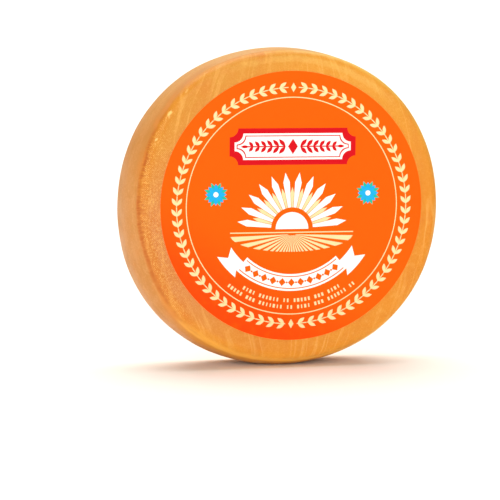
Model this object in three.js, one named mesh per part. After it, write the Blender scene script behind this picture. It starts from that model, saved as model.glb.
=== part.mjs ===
// A whole washed-rind cheese wheel that stands on its rim, with a round paper label on its front.
// Millimetres, +Z up. The wheel's axis is Y and its labelled face looks along -Y.
// The origin is on the floor, under the middle of the part.
import * as THREE from "three";

// The wheel.
const WHEEL_DIAMETER = 240;
const WHEEL_THICKNESS = 58;
const RIM_BULGE = 5; // how far the middle of the rim stands out past its two edges
const SHOULDER_WIDTH = 6.5; // from the rim's edge in to the flat of the face, along the radius
const SHOULDER_DROP = 2.5; // from the flat of the face back to the rim's edge, along the axis
const LIP_HEIGHT = 0.5; // a low swelling that runs round the shoulder
const CREASE_DEPTH = 0.4; // the line pressed in where the rim meets the shoulder

// A wheel pressed and turned by hand is a little out of round: how far the rim moves in or out.
const WIDER_THAN_TALL = 0.2;
const FULLER_UPPER_LEFT = 0.45; // and lower right
const FULLER_CORNERS = 1.05; // the four diagonals stand out, the top, bottom and sides are flatter

// The wheel is skewed: its front face lies to the right and up, its back face to the left and down.
const SKEW_RIGHT = 2.6;
const SKEW_UP = 3.3;

// The rim has settled by this much where it stands on the floor.
const FLAT_SPOT_DEPTH = 0.9;

// The label is a thin disc, glued a little off the middle of the front face.
const LABEL_DIAMETER = 199;
const LABEL_THICKNESS = 0.4;
const GLUE_GAP = 0.05;
const LABEL_RIGHT = 1.45;
const LABEL_UP = -0.6;

// How finely the round forms are cut.
const STEPS_AROUND = 120;
const RIM_STEPS = 12;
const SHOULDER_STEPS = 4;
const FACE_RINGS = [0, 0.55, 0.85]; // on the flat of the face, as shares of its radius

const rimRadius = WHEEL_DIAMETER / 2;
const halfThickness = WHEEL_THICKNESS / 2;
const edgeRadius = rimRadius - RIM_BULGE;
const edgeHeight = halfThickness - SHOULDER_DROP;
const flatRadius = edgeRadius - SHOULDER_WIDTH;

// One half of a face's section, from the middle out to the crease: radius, then height on the axis.
function faceSection() {
  const points = FACE_RINGS.map((share) => [share * flatRadius, halfThickness]);
  for (let step = 0; step <= SHOULDER_STEPS; step++) {
    const share = step / SHOULDER_STEPS;
    const fall = SHOULDER_DROP * (1 - Math.cos((share * Math.PI) / 2));
    const lip = LIP_HEIGHT * Math.sin(share * Math.PI) ** 2;
    const pressedIn = step === SHOULDER_STEPS ? CREASE_DEPTH : 0;
    points.push([flatRadius + SHOULDER_WIDTH * share - pressedIn, halfThickness - fall + lip]);
  }
  return points;
}

// The rim's section between the two creases, from the front to the back.
function rimSection() {
  const points = [];
  for (let step = 1; step < RIM_STEPS; step++) {
    const height = edgeHeight * ((2 * step) / RIM_STEPS - 1);
    points.push([rimRadius - RIM_BULGE * (height / edgeHeight) ** 2, height]);
  }
  return points;
}

// The whole section, front pole to back pole, turned about Y.
function roundWheel() {
  const face = faceSection();
  const section = [
    ...face.map(([radius, height]) => [radius, -height]),
    ...rimSection(),
    ...face.toReversed(),
  ].map(([radius, height]) => new THREE.Vector2(radius, height));
  return new THREE.LatheGeometry(section, STEPS_AROUND);
}

// How far the rim stands out of round at an angle counted from +X towards +Z.
function outOfRound(angle) {
  return (
    WIDER_THAN_TALL * Math.cos(2 * angle) -
    FULLER_UPPER_LEFT * Math.sin(2 * angle) -
    FULLER_CORNERS * Math.cos(4 * angle)
  );
}

// How much of the skew reaches a height on the axis: all of it at the front, none at mid-rim.
function skewShare(height) {
  return (-height * Math.abs(height)) / halfThickness ** 2;
}

// Gives a round wheel its uneven outline, its skew and the flat spot that it stands on.
function settle(wheel) {
  const places = wheel.getAttribute("position");
  const point = new THREE.Vector3();
  for (let i = 0; i < places.count; i++) {
    point.fromBufferAttribute(places, i);
    const swell = 1 + outOfRound(Math.atan2(point.z, point.x)) / rimRadius;
    point.x = point.x * swell + SKEW_RIGHT * skewShare(point.y);
    point.z = point.z * swell + SKEW_UP * skewShare(point.y);
    places.setXYZ(i, point.x, point.y, point.z);
  }
  wheel.computeBoundingBox();
  const floor = wheel.boundingBox.min.z + FLAT_SPOT_DEPTH;
  for (let i = 0; i < places.count; i++) {
    places.setZ(i, Math.max(places.getZ(i), floor));
  }
  wheel.computeVertexNormals();
  return wheel;
}

const rind = new THREE.MeshStandardMaterial({ color: 0xe9a052, roughness: 0.6, metalness: 0 });
const paper = new THREE.MeshStandardMaterial({ color: 0xfd670c, roughness: 0.5, metalness: 0 });

const wheel = new THREE.Mesh(settle(roundWheel()), rind);
wheel.name = "cheese_wheel";

const labelRadius = LABEL_DIAMETER / 2;
const label = new THREE.Mesh(
  new THREE.CylinderGeometry(labelRadius, labelRadius, LABEL_THICKNESS, STEPS_AROUND),
  paper,
);
label.name = "face_label";
label.position.set(
  SKEW_RIGHT + LABEL_RIGHT,
  -halfThickness - GLUE_GAP - LABEL_THICKNESS / 2,
  SKEW_UP + LABEL_UP,
);

// The middle of the whole box, label included, stands over the origin.
const cheese = new THREE.Group();
cheese.add(wheel, label);
const box = new THREE.Box3().setFromObject(cheese, true);
cheese.position.set(-(box.min.x + box.max.x) / 2, -(box.min.y + box.max.y) / 2, -box.min.z);

export default cheese;
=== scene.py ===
import math

import bmesh
import bpy
import numpy as np
from mathutils import Matrix, Vector, noise


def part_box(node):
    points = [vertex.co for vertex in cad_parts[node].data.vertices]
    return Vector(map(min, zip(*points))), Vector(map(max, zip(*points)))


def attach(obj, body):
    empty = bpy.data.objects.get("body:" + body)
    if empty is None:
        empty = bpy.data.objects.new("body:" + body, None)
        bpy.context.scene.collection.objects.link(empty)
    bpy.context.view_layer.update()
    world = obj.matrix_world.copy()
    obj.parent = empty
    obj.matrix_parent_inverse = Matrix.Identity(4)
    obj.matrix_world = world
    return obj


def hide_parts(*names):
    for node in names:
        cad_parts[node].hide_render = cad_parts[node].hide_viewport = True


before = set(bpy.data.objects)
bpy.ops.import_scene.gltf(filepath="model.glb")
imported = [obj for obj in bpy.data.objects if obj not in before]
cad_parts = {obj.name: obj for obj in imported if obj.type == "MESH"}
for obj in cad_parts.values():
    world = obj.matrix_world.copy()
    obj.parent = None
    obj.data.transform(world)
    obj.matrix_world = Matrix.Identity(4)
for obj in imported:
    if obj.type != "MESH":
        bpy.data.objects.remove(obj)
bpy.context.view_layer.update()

# A washed-rind cheese wheel on its rim, with a printed paper label. Metres, +Z up, front towards -Y.
MM = 0.001

wheel_low, wheel_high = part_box("cheese_wheel")
label_low, label_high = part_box("face_label")

# The wheel's form, as its solid has it.
RIM_RADIUS = 120 * MM
HALF_THICKNESS = 29 * MM
RIM_BULGE = 5 * MM
SHOULDER_WIDTH = 6.5 * MM
SHOULDER_DROP = 2.5 * MM
LIP_HEIGHT = 0.5 * MM
WIDER_THAN_TALL = 0.2 * MM
FULLER_UPPER_LEFT = 0.45 * MM
FULLER_CORNERS = 1.05 * MM
SKEW_RIGHT = 2.6 * MM
SKEW_UP = 3.3 * MM
LABEL_RIGHT = 1.45 * MM
LABEL_UP = -0.6 * MM
EDGE_RADIUS = RIM_RADIUS - RIM_BULGE
EDGE_HEIGHT = HALF_THICKNESS - SHOULDER_DROP
FLAT_RADIUS = EDGE_RADIUS - SHOULDER_WIDTH

PAPER_RADIUS = (label_high.x - label_low.x) / 2
label_middle = (label_low + label_high) / 2
wheel_middle = Vector((
    label_middle.x - SKEW_RIGHT - LABEL_RIGHT,
    (wheel_low.y + wheel_high.y) / 2,
    label_middle.z - SKEW_UP - LABEL_UP,
))

# The viewing angle of the photograph, and where the wheel's middle stands from the camera's axis.
CAMERA_AZIMUTH = math.radians(-14.42)
CAMERA_ELEVATION = math.radians(6.2)
CAMERA_DISTANCE = 2.238
WHEEL_RIGHT_OF_AXIS = 19.9 * MM
WHEEL_ABOVE_AXIS = 32.7 * MM
LENS_LENGTH_MM = 216
SENSOR_WIDTH_MM = 36


def add_camera():
    right = Vector((math.cos(CAMERA_AZIMUTH), math.sin(CAMERA_AZIMUTH), 0))
    back = Vector((
        math.sin(CAMERA_AZIMUTH) * math.cos(CAMERA_ELEVATION),
        -math.cos(CAMERA_AZIMUTH) * math.cos(CAMERA_ELEVATION),
        math.sin(CAMERA_ELEVATION),
    ))
    up = back.cross(right)
    data = bpy.data.cameras.new("camera")
    data.lens = LENS_LENGTH_MM
    data.sensor_width = SENSOR_WIDTH_MM
    data.dof.use_dof = False
    camera = bpy.data.objects.new("camera", data)
    camera.location = (
        wheel_middle + CAMERA_DISTANCE * back - WHEEL_RIGHT_OF_AXIS * right - WHEEL_ABOVE_AXIS * up
    )
    camera.rotation_mode = "QUATERNION"
    camera.rotation_quaternion = (-back).to_track_quat("-Z", "Y")
    bpy.context.scene.collection.objects.link(camera)
    bpy.context.scene.camera = camera


def add_object(name, mesh, *materials):
    for material in materials:
        mesh.materials.append(material)
    made = bpy.data.objects.new(name, mesh)
    bpy.context.scene.collection.objects.link(made)
    return made


# Colours, as the eye reads them from 0 to 255, turned into the light that Blender mixes.
def colour(red, green, blue):
    def light(value):
        value = value / 255
        return value / 12.92 if value <= 0.04045 else ((value + 0.055) / 1.055) ** 2.4
    return (light(red), light(green), light(blue), 1)


# Small helpers for nodes. They work in the tree of the sockets that they are given.
def new_material(name):
    material = bpy.data.materials.new(name)
    material.use_nodes = True
    return material, material.node_tree, material.node_tree.nodes["Principled BSDF"]


def feed(socket, value):
    if isinstance(value, bpy.types.NodeSocket):
        socket.id_data.links.new(value, socket)
    else:
        socket.default_value = value


def fed_node(kind, *values):
    """A node with values fed to its first inputs. At least one of them is a socket of its tree."""
    tree = next(value.id_data for value in values if isinstance(value, bpy.types.NodeSocket))
    node = tree.nodes.new(kind)
    for socket, value in zip(node.inputs, values):
        feed(socket, value)
    return node


def math_node(operation, first, second=0.0):
    node = fed_node("ShaderNodeMath", first, second)
    node.operation = operation
    return node.outputs[0]


def product(*factors):
    result = factors[0]
    for factor in factors[1:]:
        result = math_node("MULTIPLY", result, factor)
    return result


def attribute(tree, name, output):
    node = tree.nodes.new("ShaderNodeAttribute")
    node.attribute_name = name
    return node.outputs[output]


def object_place(tree):
    return tree.nodes.new("ShaderNodeTexCoord").outputs["Object"]


def noise_node(place, size, detail=2.0, stretch=None):
    """Noise from 0 to 1 whose lumps are about as large as size, or longer where stretch is under 1."""
    if stretch:
        scaled = fed_node("ShaderNodeMapping", place)
        scaled.inputs["Scale"].default_value = stretch
        place = scaled.outputs["Vector"]
    node = fed_node("ShaderNodeTexNoise", place)
    node.inputs["Scale"].default_value = 1 / size
    node.inputs["Detail"].default_value = detail
    return node.outputs["Fac"]


def spread(value, low, high, to_low=0.0, to_high=1.0, smooth=True):
    """A value taken from the range low to high to another range, and held at its ends."""
    node = fed_node("ShaderNodeMapRange", value, low, high, to_low, to_high)
    node.interpolation_type = "SMOOTHSTEP" if smooth else "LINEAR"
    return node.outputs["Result"]


def mix_value(share, first, second):
    node = fed_node("ShaderNodeMix", share)
    feed(node.inputs[2], first)
    feed(node.inputs[3], second)
    return node.outputs["Result"]


def mix_colour(share, first, second):
    node = fed_node("ShaderNodeMix", share)
    node.data_type = "RGBA"
    feed(node.inputs["A"], first)
    feed(node.inputs["B"], second)
    return node.outputs["Result"]


def distance_towards(place, direction):
    """How far a place lies in a direction, times the direction's length."""
    node = fed_node("ShaderNodeVectorMath", place, direction)
    node.operation = "DOT_PRODUCT"
    return node.outputs["Value"]


def bump(height, depth, normal=None):
    node = height.id_data.nodes.new("ShaderNodeBump")
    node.inputs["Distance"].default_value = depth
    feed(node.inputs["Height"], height)
    if normal:
        feed(node.inputs["Normal"], normal)
    return node.outputs["Normal"]


# The rind. Rows of points run round the wheel, from the middle of the front to the middle of the
# back. The front has the most points, the back fewer, and nothing fine is made behind the label.
FRONT_COLUMNS = 1536
FIRST_SHOWN_RADIUS = 94 * MM
FRONT_STEP = 0.72 * MM
RIM_STEP = 1.2 * MM
BACK_STEP = 1.6 * MM
HIDDEN_RADII = [12 * MM, 24 * MM, 48 * MM, 72 * MM, 88 * MM, 92 * MM]
COARSER_INSIDE = [110 * MM, 75 * MM, 50 * MM, 26 * MM, 13 * MM]
CORNER_EASE = 1.8 * MM
DENSE_STEP = 0.1 * MM

# Its relief.
GROOVE_DEPTH = 0.24 * MM
GROOVE_WIDTH = 1.7 * MM
BEAD_HEIGHT = 0.12 * MM
BEAD_WIDTH = 1.4 * MM
BEAD_FROM_CREASE = 3.4 * MM
WRINKLE_HEIGHT = 0.17 * MM
WRINKLE_SPACING = 1.7 * MM
WRINKLE_LENGTH = 6 * MM
WRINKLES_REACH = 10 * MM
WRINKLES_STRONGEST = 4 * MM  # from the crease
PATCH_SIZE = 45 * MM  # of where the groove or the bead is the stronger
GRAIN_HEIGHT = 0.1 * MM
GRAIN_SIZE = 1.0 * MM
THREAD_HEIGHT = 0.06 * MM
THREAD_SPACING = 1.5 * MM
THREADS_WANDER = 0.7 * MM
THREADS_WANDER_OVER = 11 * MM
SWELL_HEIGHT = 0.3 * MM
SWELL_SIZE = 28 * MM
HOOP_MARK_HEIGHT = 0.06 * MM
HOOP_MARK_LENGTH = 45 * MM
HOOP_MARK_WIDTH = 3.5 * MM
HELD_IN = 0.28 * MM  # the relief stands no further out than the wheel's own size
FACE_BEGINS = (0.5 * MM, 2.5 * MM)  # inside the crease
RIM_BEGINS = (-4 * MM, 3 * MM)  # past the crease

# How far the crease strays from the corner onto the rim, in millimetres, at angles round the wheel
# in degrees from its right over its top. The amber of the face runs out as far as the crease.
CREASE_STRAYS = (
    (-180, 0), (-160, -1.2), (-145, 0.3), (-110, 3), (60, 5), (85, 7),
    (115, 7), (130, 4.5), (141, 1), (165, 0), (180, 0),
)
CREASE_WOBBLE = 0.7 * MM
CREASE_WOBBLE_LENGTH = 9 * MM

# The side on which the crease is deep and the face is grainy. A side is given as an angle round the
# wheel and two shares of its radius that way, between which it grows from nothing to full strength.
GRAINY_SIDE = (186, 0.56, 0.88)

# The face bears the lines of the cloth that it was pressed in: they run upright and draw together
# towards the top and the bottom, where they would meet this far from the middle.
CLOTH_LINES_MEET = 150 * MM


def half_section():
    """Radius, depth below the face and distance past the crease, from near the label to mid-rim."""
    flat = np.arange(FIRST_SHOWN_RADIUS, FLAT_RADIUS, DENSE_STEP)
    share = np.linspace(0, 1, int(SHOULDER_WIDTH / DENSE_STEP) + 1)
    shoulder_radius = FLAT_RADIUS + SHOULDER_WIDTH * share
    lip = LIP_HEIGHT * np.sin(share * math.pi) ** 2
    shoulder_depth = SHOULDER_DROP * (1 - np.cos(share * math.pi / 2)) - lip
    height = np.linspace(EDGE_HEIGHT, 0, int(EDGE_HEIGHT / DENSE_STEP) + 1)[1:]
    rim_radius = RIM_RADIUS - RIM_BULGE * (height / EDGE_HEIGHT) ** 2
    radius = np.concatenate([flat, shoulder_radius, rim_radius])
    depth = np.concatenate([0 * flat, shoulder_depth, HALF_THICKNESS - height])
    reach = int(3 * CORNER_EASE / DENSE_STEP)
    weights = np.exp(-((np.arange(-reach, reach + 1) * DENSE_STEP / CORNER_EASE) ** 2))
    weights /= weights.sum()
    inner = slice(reach, -reach)
    radius[inner] = np.convolve(radius, weights, "valid")
    depth[inner] = np.convolve(depth, weights, "valid")
    length = np.concatenate([[0], np.cumsum(np.hypot(np.diff(radius), np.diff(depth)))])
    crease = length[len(flat) + len(share) - 1]
    return radius, depth, length - crease


def section_rows():
    """Radius, height on the axis, distance past the nearer crease and columns, for every row."""
    radius, depth, past = half_section()

    def rows_at(shown, side, columns):
        heights = side * (HALF_THICKNESS - np.interp(shown, past, depth))
        counts = [columns] * len(shown)
        return list(zip(np.interp(shown, past, radius), heights, shown, counts))

    hidden = [
        (r, -HALF_THICKNESS, r - EDGE_RADIUS, FRONT_COLUMNS >> (len(HIDDEN_RADII) - order))
        for order, r in enumerate(HIDDEN_RADII)
    ]
    front_face = rows_at(np.arange(past[0], 0, FRONT_STEP), -1, FRONT_COLUMNS)
    front_rim = rows_at(np.arange(0, past[-1], RIM_STEP), -1, FRONT_COLUMNS // 2)
    back_rim = rows_at(np.arange(past[-1], 0, -RIM_STEP), 1, FRONT_COLUMNS // 2)
    back_face = rows_at(np.arange(0, past[0], -BACK_STEP), 1, FRONT_COLUMNS // 4)
    inner = [
        (
            r,
            HALF_THICKNESS,
            r - EDGE_RADIUS,
            FRONT_COLUMNS // 2 >> sum(r < limit for limit in COARSER_INSIDE),
        )
        for r in np.arange(back_face[-1][0] - BACK_STEP, BACK_STEP, -BACK_STEP)
    ]
    return hidden + front_face + front_rim + back_rim + back_face + inner


def out_of_round(angle):
    return (
        WIDER_THAN_TALL * np.cos(2 * angle)
        - FULLER_UPPER_LEFT * np.sin(2 * angle)
        - FULLER_CORNERS * np.cos(4 * angle)
    )


def uneven(points, size, shift):
    """Smooth noise from about -1 to 1 at each point, in lumps of the given size.

    Each shift gives a pattern of its own.
    """
    return np.array([noise.noise(point) for point in (points / size + shift).tolist()])


def bell(distance, width):
    return np.exp(-((distance / width) ** 2))


def smooth_step(value, low, high):
    share = np.clip((value - low) / (high - low), 0, 1)
    return share * share * (3 - 2 * share)


def crease_strays(angle):
    """How far the crease lies out on the rim, at angles round the wheel."""
    turned = np.degrees(np.arctan2(np.sin(angle), np.cos(angle)))
    degrees, strays = zip(*CREASE_STRAYS)
    around = np.stack([np.cos(angle), np.sin(angle), 0 * angle], axis=1) * RIM_RADIUS
    wobble = CREASE_WOBBLE * uneven(around, CREASE_WOBBLE_LENGTH, 2.0)
    return np.interp(turned, degrees, strays) * MM + wobble


def rough_side(points):
    """From 0 to 1 towards the side of the wheel that is grainy."""
    degrees, low, high = GRAINY_SIDE
    angle = math.radians(degrees)
    toward = (points[:, 0] - wheel_middle.x) * math.cos(angle)
    toward += (points[:, 2] - wheel_middle.z) * math.sin(angle)
    return smooth_step(toward / RIM_RADIUS, low, high)


def bare_of_paper(points):
    """From 0 under the label, where the rind is pressed flat, to 1 a little way outside it."""
    away = np.hypot(points[:, 0] - label_middle.x, points[:, 2] - label_middle.z)
    return smooth_step(away, PAPER_RADIUS - 0.5 * MM, PAPER_RADIUS + 1.5 * MM)


def rind_relief(points, angle, past, cloth, front):
    """How far the rind stands out at each point, from its place and its distance past the crease."""
    patchy = 0.5 + 0.5 * uneven(points, PATCH_SIZE, 3.1)
    rough = rough_side(points)
    around = np.stack([np.cos(angle) * RIM_RADIUS, np.sin(angle) * RIM_RADIUS, 0 * past], axis=1)
    across = around / WRINKLE_SPACING
    across[:, 2] = past / WRINKLE_LENGTH
    wrinkles = uneven(across, 1, 17.0)
    along = around / HOOP_MARK_LENGTH
    along[:, 2] = past / HOOP_MARK_WIDTH
    hoop_marks = uneven(along, 1, 5.0)
    on_face = smooth_step(-past, *FACE_BEGINS)
    on_rim = smooth_step(past, *RIM_BEGINS)
    near_crease = smooth_step(past, -WRINKLES_REACH, -WRINKLES_STRONGEST)
    near_crease *= smooth_step(-past, -2 * MM, 1 * MM)
    groove = GROOVE_DEPTH * (0.6 + 0.8 * patchy) * bell(past, GROOVE_WIDTH) * rough
    bead = BEAD_HEIGHT * (1.3 - patchy) * bell(past + BEAD_FROM_CREASE, BEAD_WIDTH)
    relief = (
        bead
        - groove
        + WRINKLE_HEIGHT * wrinkles * near_crease * (0.15 + rough)
        + SWELL_HEIGHT * uneven(points, SWELL_SIZE, 40.0) * (0.35 + 0.65 * on_rim)
        + HOOP_MARK_HEIGHT * hoop_marks * on_rim
    )
    if not front:
        return relief - HELD_IN
    grains = uneven(points, GRAIN_SIZE, 0.0) + 0.5 * uneven(points, GRAIN_SIZE / 2, 9.0)
    turn = 2 * math.pi / THREAD_SPACING
    threads = np.sin(cloth[:, 0] * turn) * np.sin(cloth[:, 2] * turn)
    weave = (GRAIN_HEIGHT * grains + THREAD_HEIGHT * threads) * on_face * (0.2 + 0.8 * rough)
    return (relief + weave) * bare_of_paper(points) - HELD_IN * on_rim


def cloth_coordinates(radius, angle, points):
    """Places across and along the threads of the cloth, which wander a little."""
    across, along = radius * np.cos(angle), radius * np.sin(angle)
    drawn = across / np.sqrt(1 - (along / CLOTH_LINES_MEET) ** 2)
    return np.stack([
        drawn + THREADS_WANDER * uneven(points, THREADS_WANDER_OVER, 60.0),
        0 * angle,
        along + THREADS_WANDER * uneven(points, THREADS_WANDER_OVER, 80.0),
    ], axis=1)


def rind_points(rows):
    """Every point of the rind, and three values for its material at each.

    They are how far past the crease it is, where it is round the wheel, and its place across the
    threads of the cloth.
    """
    radius = np.array([row[0] for row in rows])
    height = np.array([row[1] for row in rows])
    run, rise = np.gradient(radius), np.gradient(height)
    length = np.hypot(run, rise)
    places, pasts, ways, cloths, starts = [], [], [], [], []
    for index, (r, h, past, columns) in enumerate(rows):
        starts.append(sum(row[3] for row in rows[:index]))
        angle = np.arange(columns) * (2 * math.pi / columns)
        toward = np.stack([np.cos(angle), 0 * angle, np.sin(angle)], axis=1)
        axis = np.array([0, 1, 0])
        swell = (1 + out_of_round(angle) / RIM_RADIUS)[:, None]
        skew = -h * abs(h) / HALF_THICKNESS**2
        place = np.array(wheel_middle) + toward * r * swell + axis * h
        place += skew * np.array([SKEW_RIGHT, 0, SKEW_UP])
        outward = toward * (rise[index] / length[index]) - axis * (run[index] / length[index])
        at = np.full(columns, past)
        if h < 0:
            at = at - crease_strays(angle)
        cloth = cloth_coordinates(r, angle, place)
        covered = h < 0 and r < FIRST_SHOWN_RADIUS
        if not covered:
            relief = rind_relief(place, angle, at, cloth, h < 0)
            place = place + outward * relief[:, None]
        places.append(place)
        pasts.append(at / MM)
        ways.append(toward * RIM_RADIUS + axis * past)
        cloths.append(cloth)
    points = np.clip(np.concatenate(places), wheel_low, wheel_high)
    return points, starts, np.concatenate(pasts), np.concatenate(ways), np.concatenate(cloths)


def joining_faces(first, first_columns, second, second_columns):
    """Faces between two neighbouring rows, where one may have half as many points."""
    if first_columns == second_columns:
        steps = [(j, (j + 1) % first_columns) for j in range(first_columns)]
        return [(first + j, first + after, second + after, second + j) for j, after in steps]
    if first_columns < second_columns:
        return [face[::-1] for face in joining_faces(second, second_columns, first, first_columns)]
    faces = []
    for j in range(second_columns):
        here, there = second + j, second + (j + 1) % second_columns
        outer = [first + (2 * j + k) % first_columns for k in range(3)]
        faces += [(outer[0], outer[1], here), (outer[1], there, here), (outer[1], outer[2], there)]
    return faces


def make_rind():
    rows = section_rows()
    points, starts, past, ways, cloths = rind_points(rows)
    poles = [
        wheel_middle + Vector((SKEW_RIGHT, -HALF_THICKNESS, SKEW_UP)),
        wheel_middle + Vector((-SKEW_RIGHT, HALF_THICKNESS - HELD_IN, -SKEW_UP)),
    ]
    faces = []
    for index in range(len(rows) - 1):
        faces += joining_faces(starts[index], rows[index][3], starts[index + 1], rows[index + 1][3])
    for pole, index in ((len(points), 0), (len(points) + 1, len(rows) - 1)):
        start, columns = starts[index], rows[index][3]
        faces += [(pole, start + j, start + (j + 1) % columns) for j in range(columns)]
    mesh = bpy.data.meshes.new("rind")
    mesh.from_pydata(points.tolist() + [tuple(pole) for pole in poles], [], faces)
    outward = bmesh.new()
    outward.from_mesh(mesh)
    bmesh.ops.recalc_face_normals(outward, faces=outward.faces)
    outward.to_mesh(mesh)
    outward.free()
    mesh.shade_smooth()
    past_crease = mesh.attributes.new("past_crease_mm", "FLOAT", "POINT")
    past_crease.data.foreach_set("value", np.concatenate([past, [-EDGE_RADIUS / MM] * 2]))
    for name, values in (("way_round", ways), ("cloth_way", cloths)):
        way = mesh.attributes.new(name, "FLOAT_VECTOR", "POINT")
        way.data.foreach_set("vector", np.concatenate([values, np.zeros((2, 3))]).ravel())
    return mesh


# What the rind looks like in each zone, from the face over the shoulder and crease to the rim.
FACE_LEFT = colour(200, 127, 68)
FACE_UPPER_LEFT = colour(203, 136, 44)
FACE_RIGHT = colour(211, 130, 22)
FACE_TOP = colour(214, 145, 42)
# Painted light: the face is lighter towards the foot, where shade falls.
FACE_FOOT_PAINTED_LIGHT = colour(216, 139, 34)
SHOULDER_LEFT = colour(200, 122, 42)
SHOULDER_UPPER_LEFT = colour(202, 128, 14)
SHOULDER_RIGHT = colour(213, 138, 30)
# Partly painted highlight: the shoulder is lighter towards the top, where it catches the light.
SHOULDER_TOP = colour(222, 176, 72)
# Painted light: the shoulder is lighter towards the foot, where shade falls.
SHOULDER_FOOT_PAINTED_LIGHT = colour(224, 152, 46)
# Painted light: a bright band over the crease at the foot, where shade falls.
FOOT_EDGE_PAINTED_LIGHT = colour(255, 192, 76)
# Painted shade in the crease and in the folds of its wrinkles.
CREASE_PAINTED_SHADE = colour(178, 90, 22)
# Painted highlight: a pale band round the top of the face, by the shoulder.
TOP_PAINTED_HIGHLIGHT = colour(224, 180, 92)
RIM_TAN = colour(202, 136, 68)
RIM_SHADE = colour(186, 121, 46)
RIM_PALE = colour(214, 156, 92)
RIM_TOP = colour(206, 150, 76)
RIM_BLUSH = colour(206, 126, 46)
FACE_DEEP = colour(200, 112, 24)
FACE_PALE = colour(230, 176, 88)
# Painted highlight: glints just inside the crease.
GLINT_PAINTED_HIGHLIGHT = colour(250, 214, 130)
AMBER_FADES = (4, 15)  # between these, in mm past the crease, but not on the sharp-edged side

# The sides on which they show.
LEFT = (183, -0.5, 0.8)
UPPER_LEFT = (132, 0.5, 0.9)
TOP = (75, 0.3, 0.95)
# Where the painted highlight round the top shows.
PAINTED_HIGHLIGHT_SIDE = (78, 0.72, 0.9)
PAINTED_LIGHT_FOOT = (275, 0.3, 1.0)
PALE_RIM = (100, 0.55, 0.95)
# Where the painted shade on the rim shows.
SHADED_RIM = (140, 0.82, 0.97)
SHARP_EDGED = (150, 0.0, 0.5)
CREASED = (186, 0.42, 0.92)
WRINKLED = (176, 0.78, 0.94)
BLUSHES = ((149, 0.86, 0.97), (228, 0.86, 0.97))
PAINTED_GLINT_SIDE = (146, 0.82, 0.97)

# How large the marks are that make them uneven.
RIM_CLOUD = 22 * MM
RIM_MOTTLE = 8 * MM
RIM_SPECKLE = 1.8 * MM
HOOP_STREAK = 4 * MM
CREASE_WRINKLE = 1.5 * MM
CREASE_PATCH = 9 * MM
BLUSH_PATCH = 20 * MM
PAINTED_GLINT_SIZE = 3.5 * MM
FACE_CLOUD = 17 * MM
FACE_MOTTLE = 7 * MM
CLOTH_FOLD = 12 * MM
FOLDED_PATCH = 30 * MM
FACE_GRAIN = 1.05 * MM
PORE = 0.7 * MM
PITS_DEPTH = 0.1 * MM  # of the grain and the pores


def side_share(place, side):
    """From 0 to 1 towards one side of the wheel."""
    degrees, low, high = side
    angle = math.radians(degrees)
    direction = Vector((math.cos(angle), 0, math.sin(angle))) / RIM_RADIUS
    middle = direction.dot(wheel_middle)
    return spread(distance_towards(place, direction), middle + low, middle + high)


def marked(shade, marks, *tints, within=None):
    """A colour with tints laid over it where the marks run from low to high, each up to a strength."""
    for low, high, strength, tint in tints:
        share = spread(marks, low, high, 0, strength)
        if within:
            share = product(share, within)
        shade = mix_colour(share, shade, tint)
    return shade


def rind_zones(place, way, past):
    """The rind's base colour: the face, the shoulder inside the crease, and the rim past it.

    Here and below, past is in millimetres past the crease, and noise runs from 0 to 1.
    """
    sides = LEFT, UPPER_LEFT, TOP, PAINTED_LIGHT_FOOT
    left, upper_left, top, foot = [side_share(place, side) for side in sides]
    cloudy = noise_node(place, RIM_CLOUD, 3)
    mottled = noise_node(place, RIM_MOTTLE, 4)

    face = mix_colour(left, FACE_RIGHT, FACE_LEFT)
    shoulder = mix_colour(left, SHOULDER_RIGHT, SHOULDER_LEFT)
    for share, on_face, on_shoulder in (
        # Partly painted highlight on the shoulder towards the top.
        (top, FACE_TOP, SHOULDER_TOP),
        (upper_left, FACE_UPPER_LEFT, SHOULDER_UPPER_LEFT),
        # Painted light towards the foot, where shade falls.
        (foot, FACE_FOOT_PAINTED_LIGHT, SHOULDER_FOOT_PAINTED_LIGHT),
    ):
        face = mix_colour(share, face, on_face)
        shoulder = mix_colour(share, shoulder, on_shoulder)
    face = mix_colour(spread(past, -9.5, -5, 0, 0.85), face, shoulder)
    # Painted highlight: a pale band round the top of the face, by the shoulder.
    paler = product(
        side_share(place, PAINTED_HIGHLIGHT_SIDE),
        spread(past, -17, -14.5, 0, 0.35),
        spread(past, -10, -12.5),
    )
    face = mix_colour(paler, face, TOP_PAINTED_HIGHLIGHT)

    rim = marked(RIM_TAN, cloudy, (0.4, 0.7, 0.5, RIM_SHADE))
    rim = marked(rim, mottled, (0.48, 0.75, 0.3, RIM_PALE), (0.45, 0.25, 0.3, RIM_BLUSH))
    rim = mix_colour(side_share(place, PALE_RIM), rim, RIM_TOP)
    hoop_streaks = noise_node(way, HOOP_STREAK, 2, stretch=(0.1, 1, 0.1))
    rim = marked(rim, hoop_streaks, (0.5, 0.75, 0.25, RIM_PALE), (0.48, 0.25, 0.25, RIM_SHADE))
    speckled = noise_node(place, RIM_SPECKLE, 3)
    rim = marked(rim, speckled, (0.52, 0.7, 0.4, RIM_SHADE), (0.47, 0.3, 0.4, RIM_PALE))
    # Painted shade: the rim is darker on its upper left, most near the crease.
    shaded = side_share(place, SHADED_RIM)
    shaded = product(shaded, spread(past, 14, 4, 0.3, 0.85))
    rim = mix_colour(shaded, rim, RIM_SHADE)

    wander = spread(mottled, 0.3, 0.7, -3, 3, smooth=False)
    faded_past = math_node("ADD", past, wander)
    faded = spread(faded_past, *AMBER_FADES)
    sharp = spread(past, -0.6, 2.4)
    on_rim = mix_value(side_share(place, SHARP_EDGED), faded, sharp)
    shade = mix_colour(on_rim, face, rim)
    # Painted light: the band over the crease at the foot made bright.
    edge = product(spread(past, -4.5, -0.5), spread(past, 6, 2), foot)
    return mix_colour(edge, shade, FOOT_EDGE_PAINTED_LIGHT)


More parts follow.
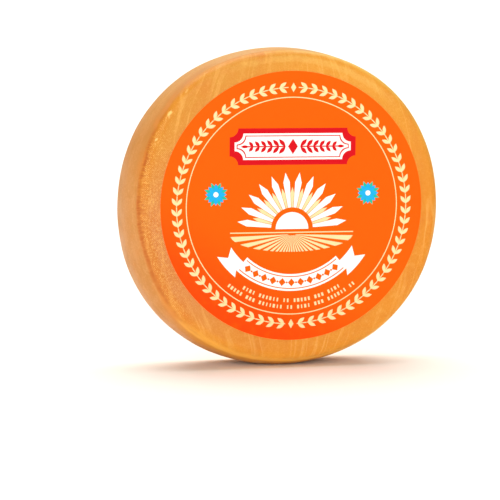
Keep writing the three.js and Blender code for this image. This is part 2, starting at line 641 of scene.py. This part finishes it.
def rind_crease(place, way, past, shade):
    """The crease in painted shade, in short wrinkles on the left, an orange blush past it, a few painted
    glints.
    """
    side = side_share(place, CREASED)
    band = product(spread(past, -4.5, -0.5), spread(past, 3.4, 0.0))
    wrinkles = noise_node(way, CREASE_WRINKLE, 3, stretch=(1, 0.3, 1))
    wrinkled = side_share(place, WRINKLED)
    broken = mix_value(wrinkled, 0.7, spread(wrinkles, 0.38, 0.6, 0.45, 1))
    most = spread(wrinkled, 0, 1, 0.15, 1)
    deeper = spread(noise_node(way, CREASE_PATCH, 2), 0.35, 0.6, 0.45, 1)
    # Painted shade along the crease, broken up by wrinkles and patches.
    share = product(band, broken, deeper, spread(side, 0, 1, 0.05, 1))
    shade = mix_colour(share, shade, CREASE_PAINTED_SHADE)
    # Painted shade in the folds of the wrinkles by the crease.
    folds = product(spread(past, -12, -3), spread(past, 1.5, -1), side, most)
    shade = marked(shade, wrinkles, (0.48, 0.64, 0.6, CREASE_PAINTED_SHADE), within=folds)
    # Painted highlight on the ridges of the wrinkles inside the crease.
    ridges = product(spread(past, -10, -4), spread(past, -0.5, -2.5), side, most)
    shade = marked(shade, wrinkles, (0.46, 0.34, 0.4, FACE_PALE), within=ridges)
    patches = spread(noise_node(place, BLUSH_PATCH, 2), 0.4, 0.62, 0.1, 0.9)
    beyond = product(spread(past, -1, 1), spread(past, 9, 1.5), patches)
    for blushing in BLUSHES:
        blush = product(beyond, side_share(place, blushing))
        shade = mix_colour(blush, shade, RIM_BLUSH)
    # Painted highlights: a few glints just inside the crease, on the upper left.
    near = product(spread(past, -6.5, -4), spread(past, -1.5, -3))
    near = product(near, side_share(place, PAINTED_GLINT_SIDE))
    spots = noise_node(way, PAINTED_GLINT_SIZE, 1, stretch=(0.6, 1, 0.6))
    return marked(shade, spots, (0.6, 0.74, 0.8, GLINT_PAINTED_HIGHLIGHT), within=near)


def rind_cloth(place, cloth_way, past, shade):
    """Soft clouds, and the upright lines that folds of the cloth have left on the face."""
    on_face = spread(past, -0.5, -3)
    cloudy = noise_node(place, FACE_CLOUD, 3)
    shade = marked(shade, cloudy, (0.5, 0.75, 0.35, FACE_DEEP), within=on_face)
    mottled = noise_node(place, FACE_MOTTLE, 4)
    shade = marked(shade, mottled, (0.52, 0.72, 0.2, FACE_PALE), within=on_face)
    folds = noise_node(cloth_way, CLOTH_FOLD, 2, stretch=(1, 1, 0.09))
    shown = product(
        on_face,
        spread(noise_node(place, FOLDED_PATCH, 2), 0.35, 0.65, 0.2, 1),
        spread(past, -60, -25, 0.3, 1),
    )
    off_middle = math_node("ABSOLUTE", math_node("SUBTRACT", folds, 0.5))
    shade = marked(shade, off_middle, (0.045, 0.0, 0.42, FACE_PALE), within=shown)
    return marked(shade, folds, (0.53, 0.75, 0.3, FACE_DEEP), within=shown)


def rind_grain(place, cloth_way, past, shade):
    """The face's fine grain and the print of its cloth's threads: the colour, and a height."""
    rough = side_share(place, GRAINY_SIDE)
    on_face = spread(past, -0.5, -3)
    split = fed_node("ShaderNodeSeparateXYZ", cloth_way)
    turn = 2 * math.pi / THREAD_SPACING
    sines = [
        math_node("SINE", math_node("MULTIPLY", split.outputs[axis], turn))
        for axis in ("X", "Z")
    ]
    threads = math_node("MULTIPLY", product(*sines), 0.17)
    grain = math_node("ADD", noise_node(place, FACE_GRAIN, 2), threads)
    share = product(on_face, spread(rough, 0, 1, 0.3, 1))
    tints = (0.5, 0.7, 0.75, FACE_DEEP), (0.46, 0.26, 0.75, FACE_PALE)
    return marked(shade, grain, *tints, within=share), grain


def rind_material():
    material, tree, shader = new_material("washed_rind")
    place = object_place(tree)
    past = attribute(tree, "past_crease_mm", "Fac")
    way = attribute(tree, "way_round", "Vector")
    cloth_way = attribute(tree, "cloth_way", "Vector")
    shade = rind_zones(place, way, past)
    shade = rind_crease(place, way, past, shade)
    shade = rind_cloth(place, cloth_way, past, shade)
    shade, grain = rind_grain(place, cloth_way, past, shade)
    feed(shader.inputs["Base Color"], shade)
    sweaty = noise_node(place, RIM_CLOUD, 3)
    feed(shader.inputs["Roughness"], spread(sweaty, 0.3, 0.7, 0.46, 0.6))
    shader.inputs["Specular IOR Level"].default_value = 0.3
    shader.inputs["Subsurface Weight"].default_value = 0.12
    shader.inputs["Subsurface Radius"].default_value = (1.0, 0.45, 0.15)
    shader.inputs["Subsurface Scale"].default_value = 3 * MM
    pores = bump(noise_node(place, PORE, 3), PITS_DEPTH)
    feed(shader.inputs["Normal"], bump(grain, PITS_DEPTH, pores))
    return material


# The label: a paper disc, and print that stands on it by a hair, one layer over another.
PAPER_THICKNESS = 0.28 * MM
PAPER_ROUNDING = 0.08 * MM
PAPER_SIDES = 256
INK_STEP = 0.03 * MM
INK_SINKS = 0.01 * MM
LABEL_TURN = math.radians(-0.6)
label_to_place = Matrix.Translation(
    (label_middle.x, label_high.y - PAPER_THICKNESS, label_middle.z)
) @ Matrix.Rotation(-LABEL_TURN, 4, "Y")

PAPER_ORANGE = colour(248, 91, 2)
# The redder orange of the paper's painted shade, towards its lower left.
PAPER_PAINTED_SHADE = colour(250, 68, 2)
INK_TINTS = {
    "cream": colour(230, 213, 157),
    "white": colour(246, 244, 238),
    "red": colour(201, 14, 26),
    "blue": colour(32, 168, 224),
    "teal": colour(40, 180, 150),
    "orange": PAPER_ORANGE,
}
MOTTLE_KEEPS = 0.93  # of a tint's light
PAPER_MOTTLE = 6 * MM
PAPER_FIBRE = 0.5 * MM
PAPER_SLACK = 30 * MM
FIBRE_DEPTH = 0.02 * MM
SLACK_DEPTH = 0.25 * MM

# The paper's painted shade: it turns redder and darker this way, between these distances from its
# middle.
PAINTED_SHADE_TOWARDS = Vector((-0.5, 0, -0.85))
PAINTED_SHADE_FROM, PAINTED_SHADE_TO = 30 * MM, 97 * MM


def printed(name, tint, painted_shade_tint=None):
    """Smooth printed paper of one tint, which may darken to painted shade towards the lower left edge.
    """
    material, tree, shader = new_material(name)
    place = object_place(tree)
    shade = tint
    if painted_shade_tint:
        lower_left = distance_towards(place, PAINTED_SHADE_TOWARDS)
        middle = label_middle.z * PAINTED_SHADE_TOWARDS.z
        share = spread(lower_left, middle + PAINTED_SHADE_FROM, middle + PAINTED_SHADE_TO)
        shade = mix_colour(share, tint, painted_shade_tint)
    mottled = noise_node(place, PAPER_MOTTLE, 4)
    darker = [channel * MOTTLE_KEEPS for channel in tint[:3]] + [1]
    shade = marked(shade, mottled, (0.45, 0.8, 0.5, darker))
    feed(shader.inputs["Base Color"], shade)
    fibres = noise_node(place, PAPER_FIBRE, 3)
    feed(shader.inputs["Roughness"], spread(fibres, 0.3, 0.7, 0.45, 0.58))
    shader.inputs["Specular IOR Level"].default_value = 0.06
    slack = bump(noise_node(place, PAPER_SLACK, 1), SLACK_DEPTH)
    feed(shader.inputs["Normal"], bump(fibres, FIBRE_DEPTH, slack))
    return material


def finished(shape, name):
    """The mesh of what a bmesh holds, with its faces outwards and none of over four corners."""
    bmesh.ops.recalc_face_normals(shape, faces=shape.faces)
    bmesh.ops.triangulate(shape, faces=[face for face in shape.faces if len(face.verts) > 4])
    mesh = bpy.data.meshes.new(name)
    shape.to_mesh(mesh)
    shape.free()
    return mesh


def paper_disc():
    """The paper, its front at the label's own zero, with its edge a little rounded."""
    section = [
        (0, 0),
        (PAPER_RADIUS - PAPER_ROUNDING, 0),
        (PAPER_RADIUS - 0.3 * PAPER_ROUNDING, 0.3 * PAPER_ROUNDING),
        (PAPER_RADIUS, PAPER_ROUNDING),
        (PAPER_RADIUS, PAPER_THICKNESS),
        (0, PAPER_THICKNESS),
    ]
    disc = bmesh.new()
    rings = []
    for radius, depth in section:
        if radius == 0:
            rings.append([disc.verts.new((0, depth, 0))] * PAPER_SIDES)
            continue
        turns = [2 * math.pi * side / PAPER_SIDES for side in range(PAPER_SIDES)]
        rings.append([
            disc.verts.new((radius * math.cos(turn), depth, radius * math.sin(turn)))
            for turn in turns
        ])
    for ring, following in zip(rings, rings[1:]):
        for side in range(PAPER_SIDES):
            after = (side + 1) % PAPER_SIDES
            corners = dict.fromkeys([ring[side], ring[after], following[after], following[side]])
            disc.faces.new(corners)
    mesh = finished(disc, "paper")
    mesh.transform(label_to_place)
    return mesh


def slab(outline, layer):
    """A filled outline as a thin closed mesh. Outlines are lists of (right, up) in millimetres.

    Outlines that overlap stand on layers of their own, so that no two faces share a plane.
    """
    shape = bmesh.new()
    front = [shape.verts.new((u * MM, -layer * INK_STEP, v * MM)) for u, v in outline]
    rear = [shape.verts.new((u * MM, INK_SINKS, v * MM)) for u, v in outline]
    shape.faces.new(front)
    shape.faces.new(rear[::-1])
    for here in range(len(outline)):
        after = (here + 1) % len(outline)
        shape.faces.new([front[here], rear[here], rear[after], front[after]])
    return finished(shape, "slab")


def hoop(outer, inner, layer):
    """The band between two outlines with as many points, as a thin closed mesh."""
    shape = bmesh.new()
    loops = [
        [shape.verts.new((u * MM, depth, v * MM)) for u, v in outline]
        for outline, depth in (
            (outer, -layer * INK_STEP),
            (inner, -layer * INK_STEP),
            (inner, INK_SINKS),
            (outer, INK_SINKS),
        )
    ]
    for loop, following in zip(loops, loops[1:] + loops[:1]):
        for here in range(len(outer)):
            after = (here + 1) % len(outer)
            shape.faces.new([loop[here], loop[after], following[after], following[here]])
    return finished(shape, "hoop")


def on_circle(radius, degrees):
    return radius * math.cos(math.radians(degrees)), radius * math.sin(math.radians(degrees))


def arc(radius, start, end, steps=48):
    return [on_circle(radius, start + (end - start) * step / steps) for step in range(steps + 1)]


def arc_strip(inner, outer, start, end):
    return arc(outer, start, end) + arc(inner, end, start)


def box_outline(width, height, right=0.0, up=0.0):
    half_width, half_height = width / 2, height / 2
    corners = ((-1, -1), (1, -1), (1, 1), (-1, 1))
    return [(right + x * half_width, up + y * half_height) for x, y in corners]


def lozenge(width, height):
    return [(-width / 2, 0), (0, -height / 2), (width / 2, 0), (0, height / 2)]


def leaf(length, width, right=0.0, up=0.0, lean=0.0, steps=7):
    """A pointed leaf whose stalk end is at (right, up) and which leans by degrees from +right."""
    def at(step, side):
        share = step / steps
        return length * share, side * width / 2 * math.sin(math.pi * share)
    outline = [at(step, 1) for step in range(steps)]
    outline += [at(step, -1) for step in range(steps, 0, -1)]
    cos, sin = math.cos(math.radians(lean)), math.sin(math.radians(lean))
    return [(right + x * cos - y * sin, up + x * sin + y * cos) for x, y in outline]


def circle(radius, steps=24):
    return arc(radius, 0, 360, steps)[:-1]


def mirrored(outline):
    return [(-u, v) for u, v in reversed(outline)]


def moved(outline, right, up):
    return [(u + right, v + up) for u, v in outline]


def merged(meshes):
    together = bmesh.new()
    for mesh in meshes:
        together.from_mesh(mesh)
    mesh = bpy.data.meshes.new("merged")
    together.to_mesh(mesh)
    together.free()
    return mesh


def set_round_tree():
    """Geometry Nodes that set copies of a motif round an arc, seen from the front.

    The motif's up points away from the arc's middle. Its length along the arc may vary, by a
    seeded draw between the shortest share and 1.
    """
    tree = bpy.data.node_groups.new("Set round an arc", "GeometryNodeTree")
    face = tree.interface
    face.new_socket("Geometry", in_out="INPUT", socket_type="NodeSocketGeometry")
    for kind, names in (
        ("NodeSocketFloat", ("Radius", "First angle", "Angle step", "Shortest share")),
        ("NodeSocketInt", ("Count", "Seed")),
        ("NodeSocketMaterial", ("Ink",)),
    ):
        for name in names:
            face.new_socket(name, in_out="INPUT", socket_type=kind)
    face.new_socket("Geometry", in_out="OUTPUT", socket_type="NodeSocketGeometry")
    given = tree.nodes.new("NodeGroupInput").outputs

    def node(kind, **inputs):
        made = tree.nodes.new(kind)
        for name, value in inputs.items():
            feed(made.inputs[name.replace("_", " ")], value)
        return made

    index = tree.nodes.new("GeometryNodeInputIndex").outputs[0]
    turned = math_node("MULTIPLY", given["Angle step"], index)
    angle = math_node("ADD", given["First angle"], turned)
    place = node(
        "ShaderNodeCombineXYZ",
        X=math_node("MULTIPLY", given["Radius"], math_node("COSINE", angle)),
        Z=math_node("MULTIPLY", given["Radius"], math_node("SINE", angle)),
    )
    points = node("GeometryNodePoints", Count=given["Count"], Position=place.outputs[0])
    turn = node("ShaderNodeCombineXYZ", Y=math_node("SUBTRACT", math.pi / 2, angle))
    draw = node("FunctionNodeRandomValue", Seed=given["Seed"])
    draw.data_type = "FLOAT"
    feed(draw.inputs[2], given["Shortest share"])
    stretch = node("ShaderNodeCombineXYZ", X=draw.outputs[1], Y=1.0, Z=1.0)
    copies = node(
        "GeometryNodeInstanceOnPoints",
        Points=points.outputs[0],
        Instance=given["Geometry"],
        Rotation=turn.outputs[0],
        Scale=stretch.outputs[0],
    )
    real = node("GeometryNodeRealizeInstances", Geometry=copies.outputs[0])
    inked = node("GeometryNodeSetMaterial", Geometry=real.outputs[0], Material=given["Ink"])
    result = tree.nodes.new("NodeGroupOutput")
    feed(result.inputs[0], inked.outputs[0])
    return tree


def set_round(tree, motif, ink, radius, start, end, count, shortest=1.0, seed=0):
    """A mesh of count motifs whose middles run evenly from the start angle to the end angle."""
    holder = add_object("motif", motif)
    setter = holder.modifiers.new("set round an arc", "NODES")
    setter.node_group = tree
    values = {
        "Radius": radius * MM,
        "First angle": math.radians(start),
        "Angle step": math.radians(end - start) / max(count - 1, 1),
        "Shortest share": shortest,
        "Count": count,
        "Seed": seed,
        "Ink": ink,
    }
    for item in tree.interface.items_tree:
        if item.in_out == "INPUT" and item.name in values:
            setter[item.identifier] = values[item.name]
    holder.update_tag()
    ready = bpy.context.evaluated_depsgraph_get()
    mesh = bpy.data.meshes.new_from_object(holder.evaluated_get(ready))
    bpy.data.objects.remove(holder)
    return mesh


def print_piece(name, meshes, ink):
    mesh = merged(meshes)
    mesh.name = name
    mesh.transform(label_to_place)
    return add_object(name, mesh, ink)


# The printed design, in millimetres from the label's middle and degrees from its right. A wreath
# runs round it. Inside are a plaque, a sun over a field between two flowers, a ribbon and small
# print. A pair of numbers is a leaf's, petal's or ray's length and width, or another motif's width
# and height, but where a comment says more.
WREATH_RADIUS = 87.4
WREATH_SPACING = 7.6
WREATH_GAP = 5.2
WREATH_LEAF = (6.6, 2.7)
WREATH_LEAN = 33
WREATH_GEM = (4.0, 7.0)
SPRIG_ROOT = -0.42  # of a leaf's length, from the sprig's middle
LEAVES_APART = 0.5
STALK_WIDTH = 0.7
STALK_GAP = 0.03
STALK_MIDDLE = 0.4  # of the wreath's spacing, from the sprig's root
UNDER = 0.6  # the layer of stalks, a little lower than the leaves that grow from them
LINE_RADIUS = 80.2
LINE_WIDTH = 0.7
PLAQUE_UP = 44.0
PLAQUE_SIZE = (96.0, 27.0)
PLAQUE_SCOOP = 6.5
PLAQUE_BORDER = 3.8
PLAQUE_LINE = (5.3, 6.0)  # its outer and inner edge, from the plaque's own
SPRAY_GEM = (7.5, 11.5)
SPRAY_LEAVES = 6
SPRAY_SPACING = 4.9
SPRAY_FROM = 5.6
SPRAY_LEAF = (7.4, 2.9)
SPRAY_LEAF_SHRINKS = (0.5, 0.1)  # from each leaf to the next
SPRAY_LEAN = 47
SPRAY_TIP = (6.0, 2.2)
SPRAY_TIP_LAP = 1.5
SPRAY_STALK = 0.9
SUN_UP = -17.0
SUN_RADIUS = 12.5
RAYS_FROM = 16.0
RAYS_START = 8.0
LONG_RAY = (26.0, 5.0)
SHORT_RAY = (15.0, 2.7)
LONG_RAYS = 12
RAY_WIDEST = 0.72  # of its length
RAY_FOOT = 0.22  # of its width, to each side
FIELD_SIZE = (47.0, 13.0)  # half its width, and its height
FIELD_UP = -19.5
FIELD_GAP = 1.4
FURROWS = 21
FURROWS_FROM = 0.07  # of the way out
FURROW_SHARES = (0.2, 0.5, 0.8)  # where a furrow's far points lie between its neighbours
HORIZON_WIDTH = 0.8
FLOWER_PLACES = ((-58.0, 9.0), (58.0, 9.0))  # right and up
PETALS = 8
PETAL = (7.0, 3.4)
POINTED_LEAF = (8.4, 2.8)
FLOWER_EYE = 1.9
RIBBON_RADII = (50.5, 63.0)  # inner and outer
RIBBON_ENDS = (228.0, 312.0)  # degrees
RIBBON_TAIL = 15.0  # degrees
RIBBON_TUCK = 2.5  # degrees by which the tails reach behind the ribbon
RIBBON_NOTCH = 5.0  # degrees
RIBBON_DROP = 4.5
RIBBON_FOLD_GAP = 0.05  # degrees
RIBBON_LINE = (1.5, 0.7)  # its distance from the ribbon's edge, and its width
RIBBON_LINE_STOPS = 1.3  # degrees short of the ribbon's ends
RIBBON_GEMS = 11
RIBBON_GEM = (5.4, 6.0)
RIBBON_DOT = 0.75
RIBBON_GEMS_STOP = 6.0  # degrees short of the ribbon's ends
GRAIN_OF_PRINT = (1.75, 2.7)
SHORTEST_GRAIN = 0.45  # of the longest
PRINT_SPACING = 2.75
WORD_GAP = 1.9  # of the spacing
PRINT_ROWS = ((75.0, (5, 3, 7, 2, 4, 3, 6, 2)), (70.0, (4, 6, 2, 5, 3, 4)))  # radius, and words' lengths


def sprig(turned=False):
    """A short stalk with a leaf on each side, which points along the arc, or the other way."""
    root = SPRIG_ROOT * WREATH_LEAF[0]
    stalk_length = WREATH_SPACING - 2 * STALK_GAP
    outlines = [
        (leaf(*WREATH_LEAF, root, LEAVES_APART / 2, WREATH_LEAN), 1),
        (leaf(*WREATH_LEAF, root, -LEAVES_APART / 2, -WREATH_LEAN), 1),
        (box_outline(stalk_length, STALK_WIDTH, root + STALK_MIDDLE * WREATH_SPACING), UNDER),
    ]
    return merged([
        slab(mirrored(outline) if turned else outline, layer) for outline, layer in outlines
    ])


def wreath(tree, ink):
    """Two branches that rise from the label's bottom to its top, with a lozenge at each gap."""
    count = round(math.radians(180 - 2 * WREATH_GAP) * WREATH_RADIUS / WREATH_SPACING)
    ends = 270 - WREATH_GAP, 90 + WREATH_GAP
    left = set_round(tree, sprig(), ink, WREATH_RADIUS, *ends, count)
    ends = WREATH_GAP - 90, 90 - WREATH_GAP
    right = set_round(tree, sprig(turned=True), ink, WREATH_RADIUS, *ends, count)
    gems = set_round(tree, slab(lozenge(*WREATH_GEM), 1), ink, WREATH_RADIUS, 90, 270, 2)
    return [left, right, gems]


def ring_line(radius, width, steps=192):
    return hoop(circle(radius + width / 2, steps), circle(radius - width / 2, steps), 1)


def ray(length, width):
    widest, base = RAY_WIDEST * length, RAY_FOOT * width
    outline = [(-base, 0), (base, 0), (width / 2, widest), (0, length), (-width / 2, widest)]
    return slab(outline, 1)


def sun(tree, white, cream):
    """A half sun whose long and short rays spread like a fan. Gives the white and the cream parts."""
    def fan(length, width, ink, start, count):
        rays = set_round(tree, ray(length, width), ink, RAYS_FROM, start, 180 - start, count)
        rays.transform(Matrix.Translation((0, 0, SUN_UP * MM)))
        return rays
    step = (180 - 2 * RAYS_START) / (LONG_RAYS - 1)
    long_rays = fan(*LONG_RAY, white, RAYS_START, LONG_RAYS)
    short_rays = fan(*SHORT_RAY, cream, RAYS_START + step / 2, LONG_RAYS - 1)
    disc = slab(moved(arc(SUN_RADIUS, 0, 180, steps=40), 0, SUN_UP), 1)
    return [long_rays, disc], [short_rays]


def field():
    """A horizon, and furrows that fan out from its middle to an oval edge."""
    half_width, half_height = FIELD_SIZE
    top = FIELD_UP - FIELD_GAP
    meshes = [slab(box_outline(2 * half_width, HORIZON_WIDTH, up=FIELD_UP), 1)]
    for index in range(FURROWS):
        far = []
        for share in FURROW_SHARES:
            angle = math.radians(180 + (index + share) * 180 / FURROWS)
            cos, sin = math.cos(angle), math.sin(angle)
            reach = 1 / math.hypot(cos / half_width, sin / half_height)
            far.append((reach * cos, reach * sin))
        near = [(u * FURROWS_FROM, v * FURROWS_FROM) for u, v in reversed(far)]
        meshes.append(slab(moved(far + near, 0, top), 1))
    return meshes


def plaque_outline(inset):
    """The plaque's outline, drawn in by an inset: a long box whose corners are scooped out."""
    half_width, half_height = PLAQUE_SIZE[0] / 2 - inset, PLAQUE_SIZE[1] / 2 - inset
    steps = 8
    outline = []
    for corner, (x, y) in enumerate(((1, 1), (-1, 1), (-1, -1), (1, -1))):
        first = 270 + 90 * corner
        for step in range(steps + 1):
            u, v = on_circle(PLAQUE_SCOOP, first - 90 * step / steps)
            outline.append((x * half_width + u, PLAQUE_UP + y * half_height + v))
    return outline


def plaque_sprays(layer):
    """Two leafy sprays that part from a lozenge in the plaque's middle."""
    leaves = [lozenge(*SPRAY_GEM)]
    for index in range(SPRAY_LEAVES):
        root = SPRAY_FROM + SPRAY_SPACING * index
        size = [first - index * shrinks for first, shrinks in zip(SPRAY_LEAF, SPRAY_LEAF_SHRINKS)]
        for lean in (SPRAY_LEAN, -SPRAY_LEAN):
            blade = leaf(*size, root, 0, lean)
            leaves += [blade, mirrored(blade)]
    stalk_length = SPRAY_SPACING * SPRAY_LEAVES
    tip = leaf(*SPRAY_TIP, SPRAY_FROM + stalk_length - SPRAY_TIP_LAP)
    leaves += [tip, mirrored(tip)]
    stalk = box_outline(stalk_length, SPRAY_STALK, SPRAY_FROM + stalk_length / 2)
    return [
        slab(moved(outline, 0, PLAQUE_UP), height)
        for outlines, height in ((leaves, layer), ([stalk, mirrored(stalk)], layer - 1 + UNDER))
        for outline in outlines
    ]


def flowers(tree, inks):
    """Two round flowers: pointed leaves, then petals, every second over its neighbours."""
    def turned(outline, ink, layer, first, count):
        meshes = []
        for right, up in FLOWER_PLACES:
            last = first + 360 - 360 / count
            turns = set_round(tree, slab(outline, layer), inks[ink], 1.0, first, last, count)
            turns.transform(Matrix.Translation((right * MM, 0, up * MM)))
            meshes.append(turns)
        return meshes
    petal = leaf(*PETAL, lean=90, steps=10)
    step, half = 360 / PETALS, PETALS // 2
    return {
        "teal": turned(leaf(*POINTED_LEAF, lean=90), "teal", 1, step / 2, PETALS),
        "blue": turned(petal, "blue", 2, 0, half) + turned(petal, "blue", 2.5, step, half),
        "white": [slab(moved(circle(FLOWER_EYE), *place), 3) for place in FLOWER_PLACES],
    }


def ribbon():
    """A white ribbon that hangs in an arc, with two notched tails behind its ends."""
    inner, outer = RIBBON_RADII
    low, high = RIBBON_ENDS
    meshes = [slab(arc_strip(inner, outer, low, high), 2)]
    near, far = inner + RIBBON_DROP, outer + RIBBON_DROP
    for fold, direction in ((low + RIBBON_TUCK, -1), (high - RIBBON_TUCK, 1)):
        end = fold + direction * (RIBBON_TAIL + RIBBON_TUCK)
        notch = on_circle((near + far) / 2, end - direction * RIBBON_NOTCH)
        tail = arc(far, fold, end, steps=10) + [notch] + arc(near, end, fold, steps=10)
        meshes.append(slab(tail, 1))
    return meshes


def ribbon_print(tree, ink):
    """The print on the ribbon, in the paper's orange: lines, a chain of lozenges, and its folds."""
    inner, outer = RIBBON_RADII
    low, high = RIBBON_ENDS
    inset, width = RIBBON_LINE
    line_ends = low + RIBBON_LINE_STOPS, high - RIBBON_LINE_STOPS
    first, last = low + RIBBON_GEMS_STOP, high - RIBBON_GEMS_STOP
    middle = (inner + outer) / 2
    half_step = (last - first) / (RIBBON_GEMS - 1) / 2
    gem, dot = slab(lozenge(*RIBBON_GEM), 3), slab(circle(RIBBON_DOT, steps=12), 3)
    meshes = [
        slab(arc_strip(inner + inset, inner + inset + width, *line_ends), 3),
        slab(arc_strip(outer - inset - width, outer - inset, *line_ends), 3),
        set_round(tree, gem, ink, middle, first, last, RIBBON_GEMS),
        set_round(tree, dot, ink, middle, first + half_step, last - half_step, RIBBON_GEMS - 1),
    ]
    for fold, direction in ((low, 1), (high, -1)):
        corners = [
            on_circle(outer, fold + direction * RIBBON_FOLD_GAP),
            on_circle(outer, fold + direction * RIBBON_TUCK),
            on_circle(outer + RIBBON_DROP, fold + direction * RIBBON_TUCK),
        ]
        meshes.append(slab(corners, 1.5))
    return meshes


def small_print(tree, ink, radius, words):
    """A row of small upright grains along the bottom, in groups, where fine print would be."""
    step = math.degrees(PRINT_SPACING / radius)
    steps = sum(words) - len(words) + WORD_GAP * (len(words) - 1)
    at = 270 - step * steps / 2
    meshes = []
    for count in words:
        last = at + step * (count - 1)
        grain = slab(box_outline(*GRAIN_OF_PRINT), 1)
        meshes.append(set_round(tree, grain, ink, radius, at, last, count, SHORTEST_GRAIN, count))
        at = last + WORD_GAP * step
    return meshes


def make_label():
    """The paper and its print, each ink one piece."""
    inks = {name: printed(name + "_ink", tint) for name, tint in INK_TINTS.items()}
    tree = set_round_tree()
    sun_white, sun_cream = sun(tree, inks["white"], inks["cream"])
    blooms = flowers(tree, inks)
    cream = wreath(tree, inks["cream"]) + [ring_line(LINE_RADIUS, LINE_WIDTH)]
    cream += sun_cream + field()
    for radius, words in PRINT_ROWS:
        cream += small_print(tree, inks["cream"], radius, words)
    red = [
        slab(plaque_outline(0), 1),
        hoop(plaque_outline(PLAQUE_LINE[0]), plaque_outline(PLAQUE_LINE[1]), 3),
    ] + plaque_sprays(3)
    white = ribbon() + [slab(plaque_outline(PLAQUE_BORDER), 2)] + sun_white + blooms["white"]
    paper = printed("label_paper", PAPER_ORANGE, PAPER_PAINTED_SHADE)
    pieces = [add_object("label_paper", paper_disc(), paper)]
    for name, meshes in (
        ("cream", cream),
        ("white", white),
        ("red", red),
        ("orange", ribbon_print(tree, inks["orange"])),
        ("blue", blooms["blue"]),
        ("teal", blooms["teal"]),
    ):
        pieces.append(print_piece("label_print_" + name, meshes, inks[name]))
    return pieces


# The floor and the light.
FLOOR_HALF_SIZE = 80.0
FLOOR_CLOUD = 0.4
FLOOR_PALE = colour(250, 244, 234)
FLOOR_WARM = colour(250, 243, 232)
WORLD_STRENGTH = 0.45


def add_floor():
    material, tree, shader = new_material("pale_floor")
    cloudy = noise_node(object_place(tree), FLOOR_CLOUD)
    feed(shader.inputs["Base Color"], mix_colour(cloudy, FLOOR_PALE, FLOOR_WARM))
    shader.inputs["Roughness"].default_value = 0.9
    shader.inputs["Specular IOR Level"].default_value = 0.1
    mesh = bpy.data.meshes.new("floor")
    signs = ((-1, -1), (1, -1), (1, 1), (-1, 1))
    corners = [(x * FLOOR_HALF_SIZE, y * FLOOR_HALF_SIZE, 0) for x, y in signs]
    mesh.from_pydata(corners, [], [(0, 1, 2, 3)])
    add_object("floor", mesh, material)


def add_world():
    """Soft white light from all round. The camera sees it as plain white."""
    world = bpy.data.worlds.new("studio")
    world.use_nodes = True
    bpy.context.scene.world = world
    tree = world.node_tree
    background = tree.nodes["Background"]
    background.inputs["Color"].default_value = (1, 1, 1, 1)
    seen = tree.nodes.new("ShaderNodeLightPath").outputs["Is Camera Ray"]
    strength = spread(seen, 0, 1, WORLD_STRENGTH, 1, smooth=False)
    feed(background.inputs["Strength"], strength)


def add_sun(name, strength, softness, towards):
    """Even light from one side, as from a large soft panel far off."""
    data = bpy.data.lights.new(name, "SUN")
    data.energy = strength
    data.angle = math.radians(softness)
    light = bpy.data.objects.new(name, data)
    light.rotation_mode = "QUATERNION"
    light.rotation_quaternion = Vector(towards).to_track_quat("Z", "Y")
    light.visible_camera = False
    bpy.context.scene.collection.objects.link(light)


add_camera()

rind = add_object("rind", make_rind(), rind_material())
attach(rind, "root")
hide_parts("cheese_wheel")

label_pieces = make_label()
for piece in label_pieces:
    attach(piece, "root")
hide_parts("face_label")

add_floor()
add_world()
add_sun("top panel", 2.9, 70, (0.05, 0.36, 1.0))
add_sun("front panel", 3.1, 60, (-0.38, -1.0, 0.04))
bpy.context.scene.view_settings.view_transform = "Standard"
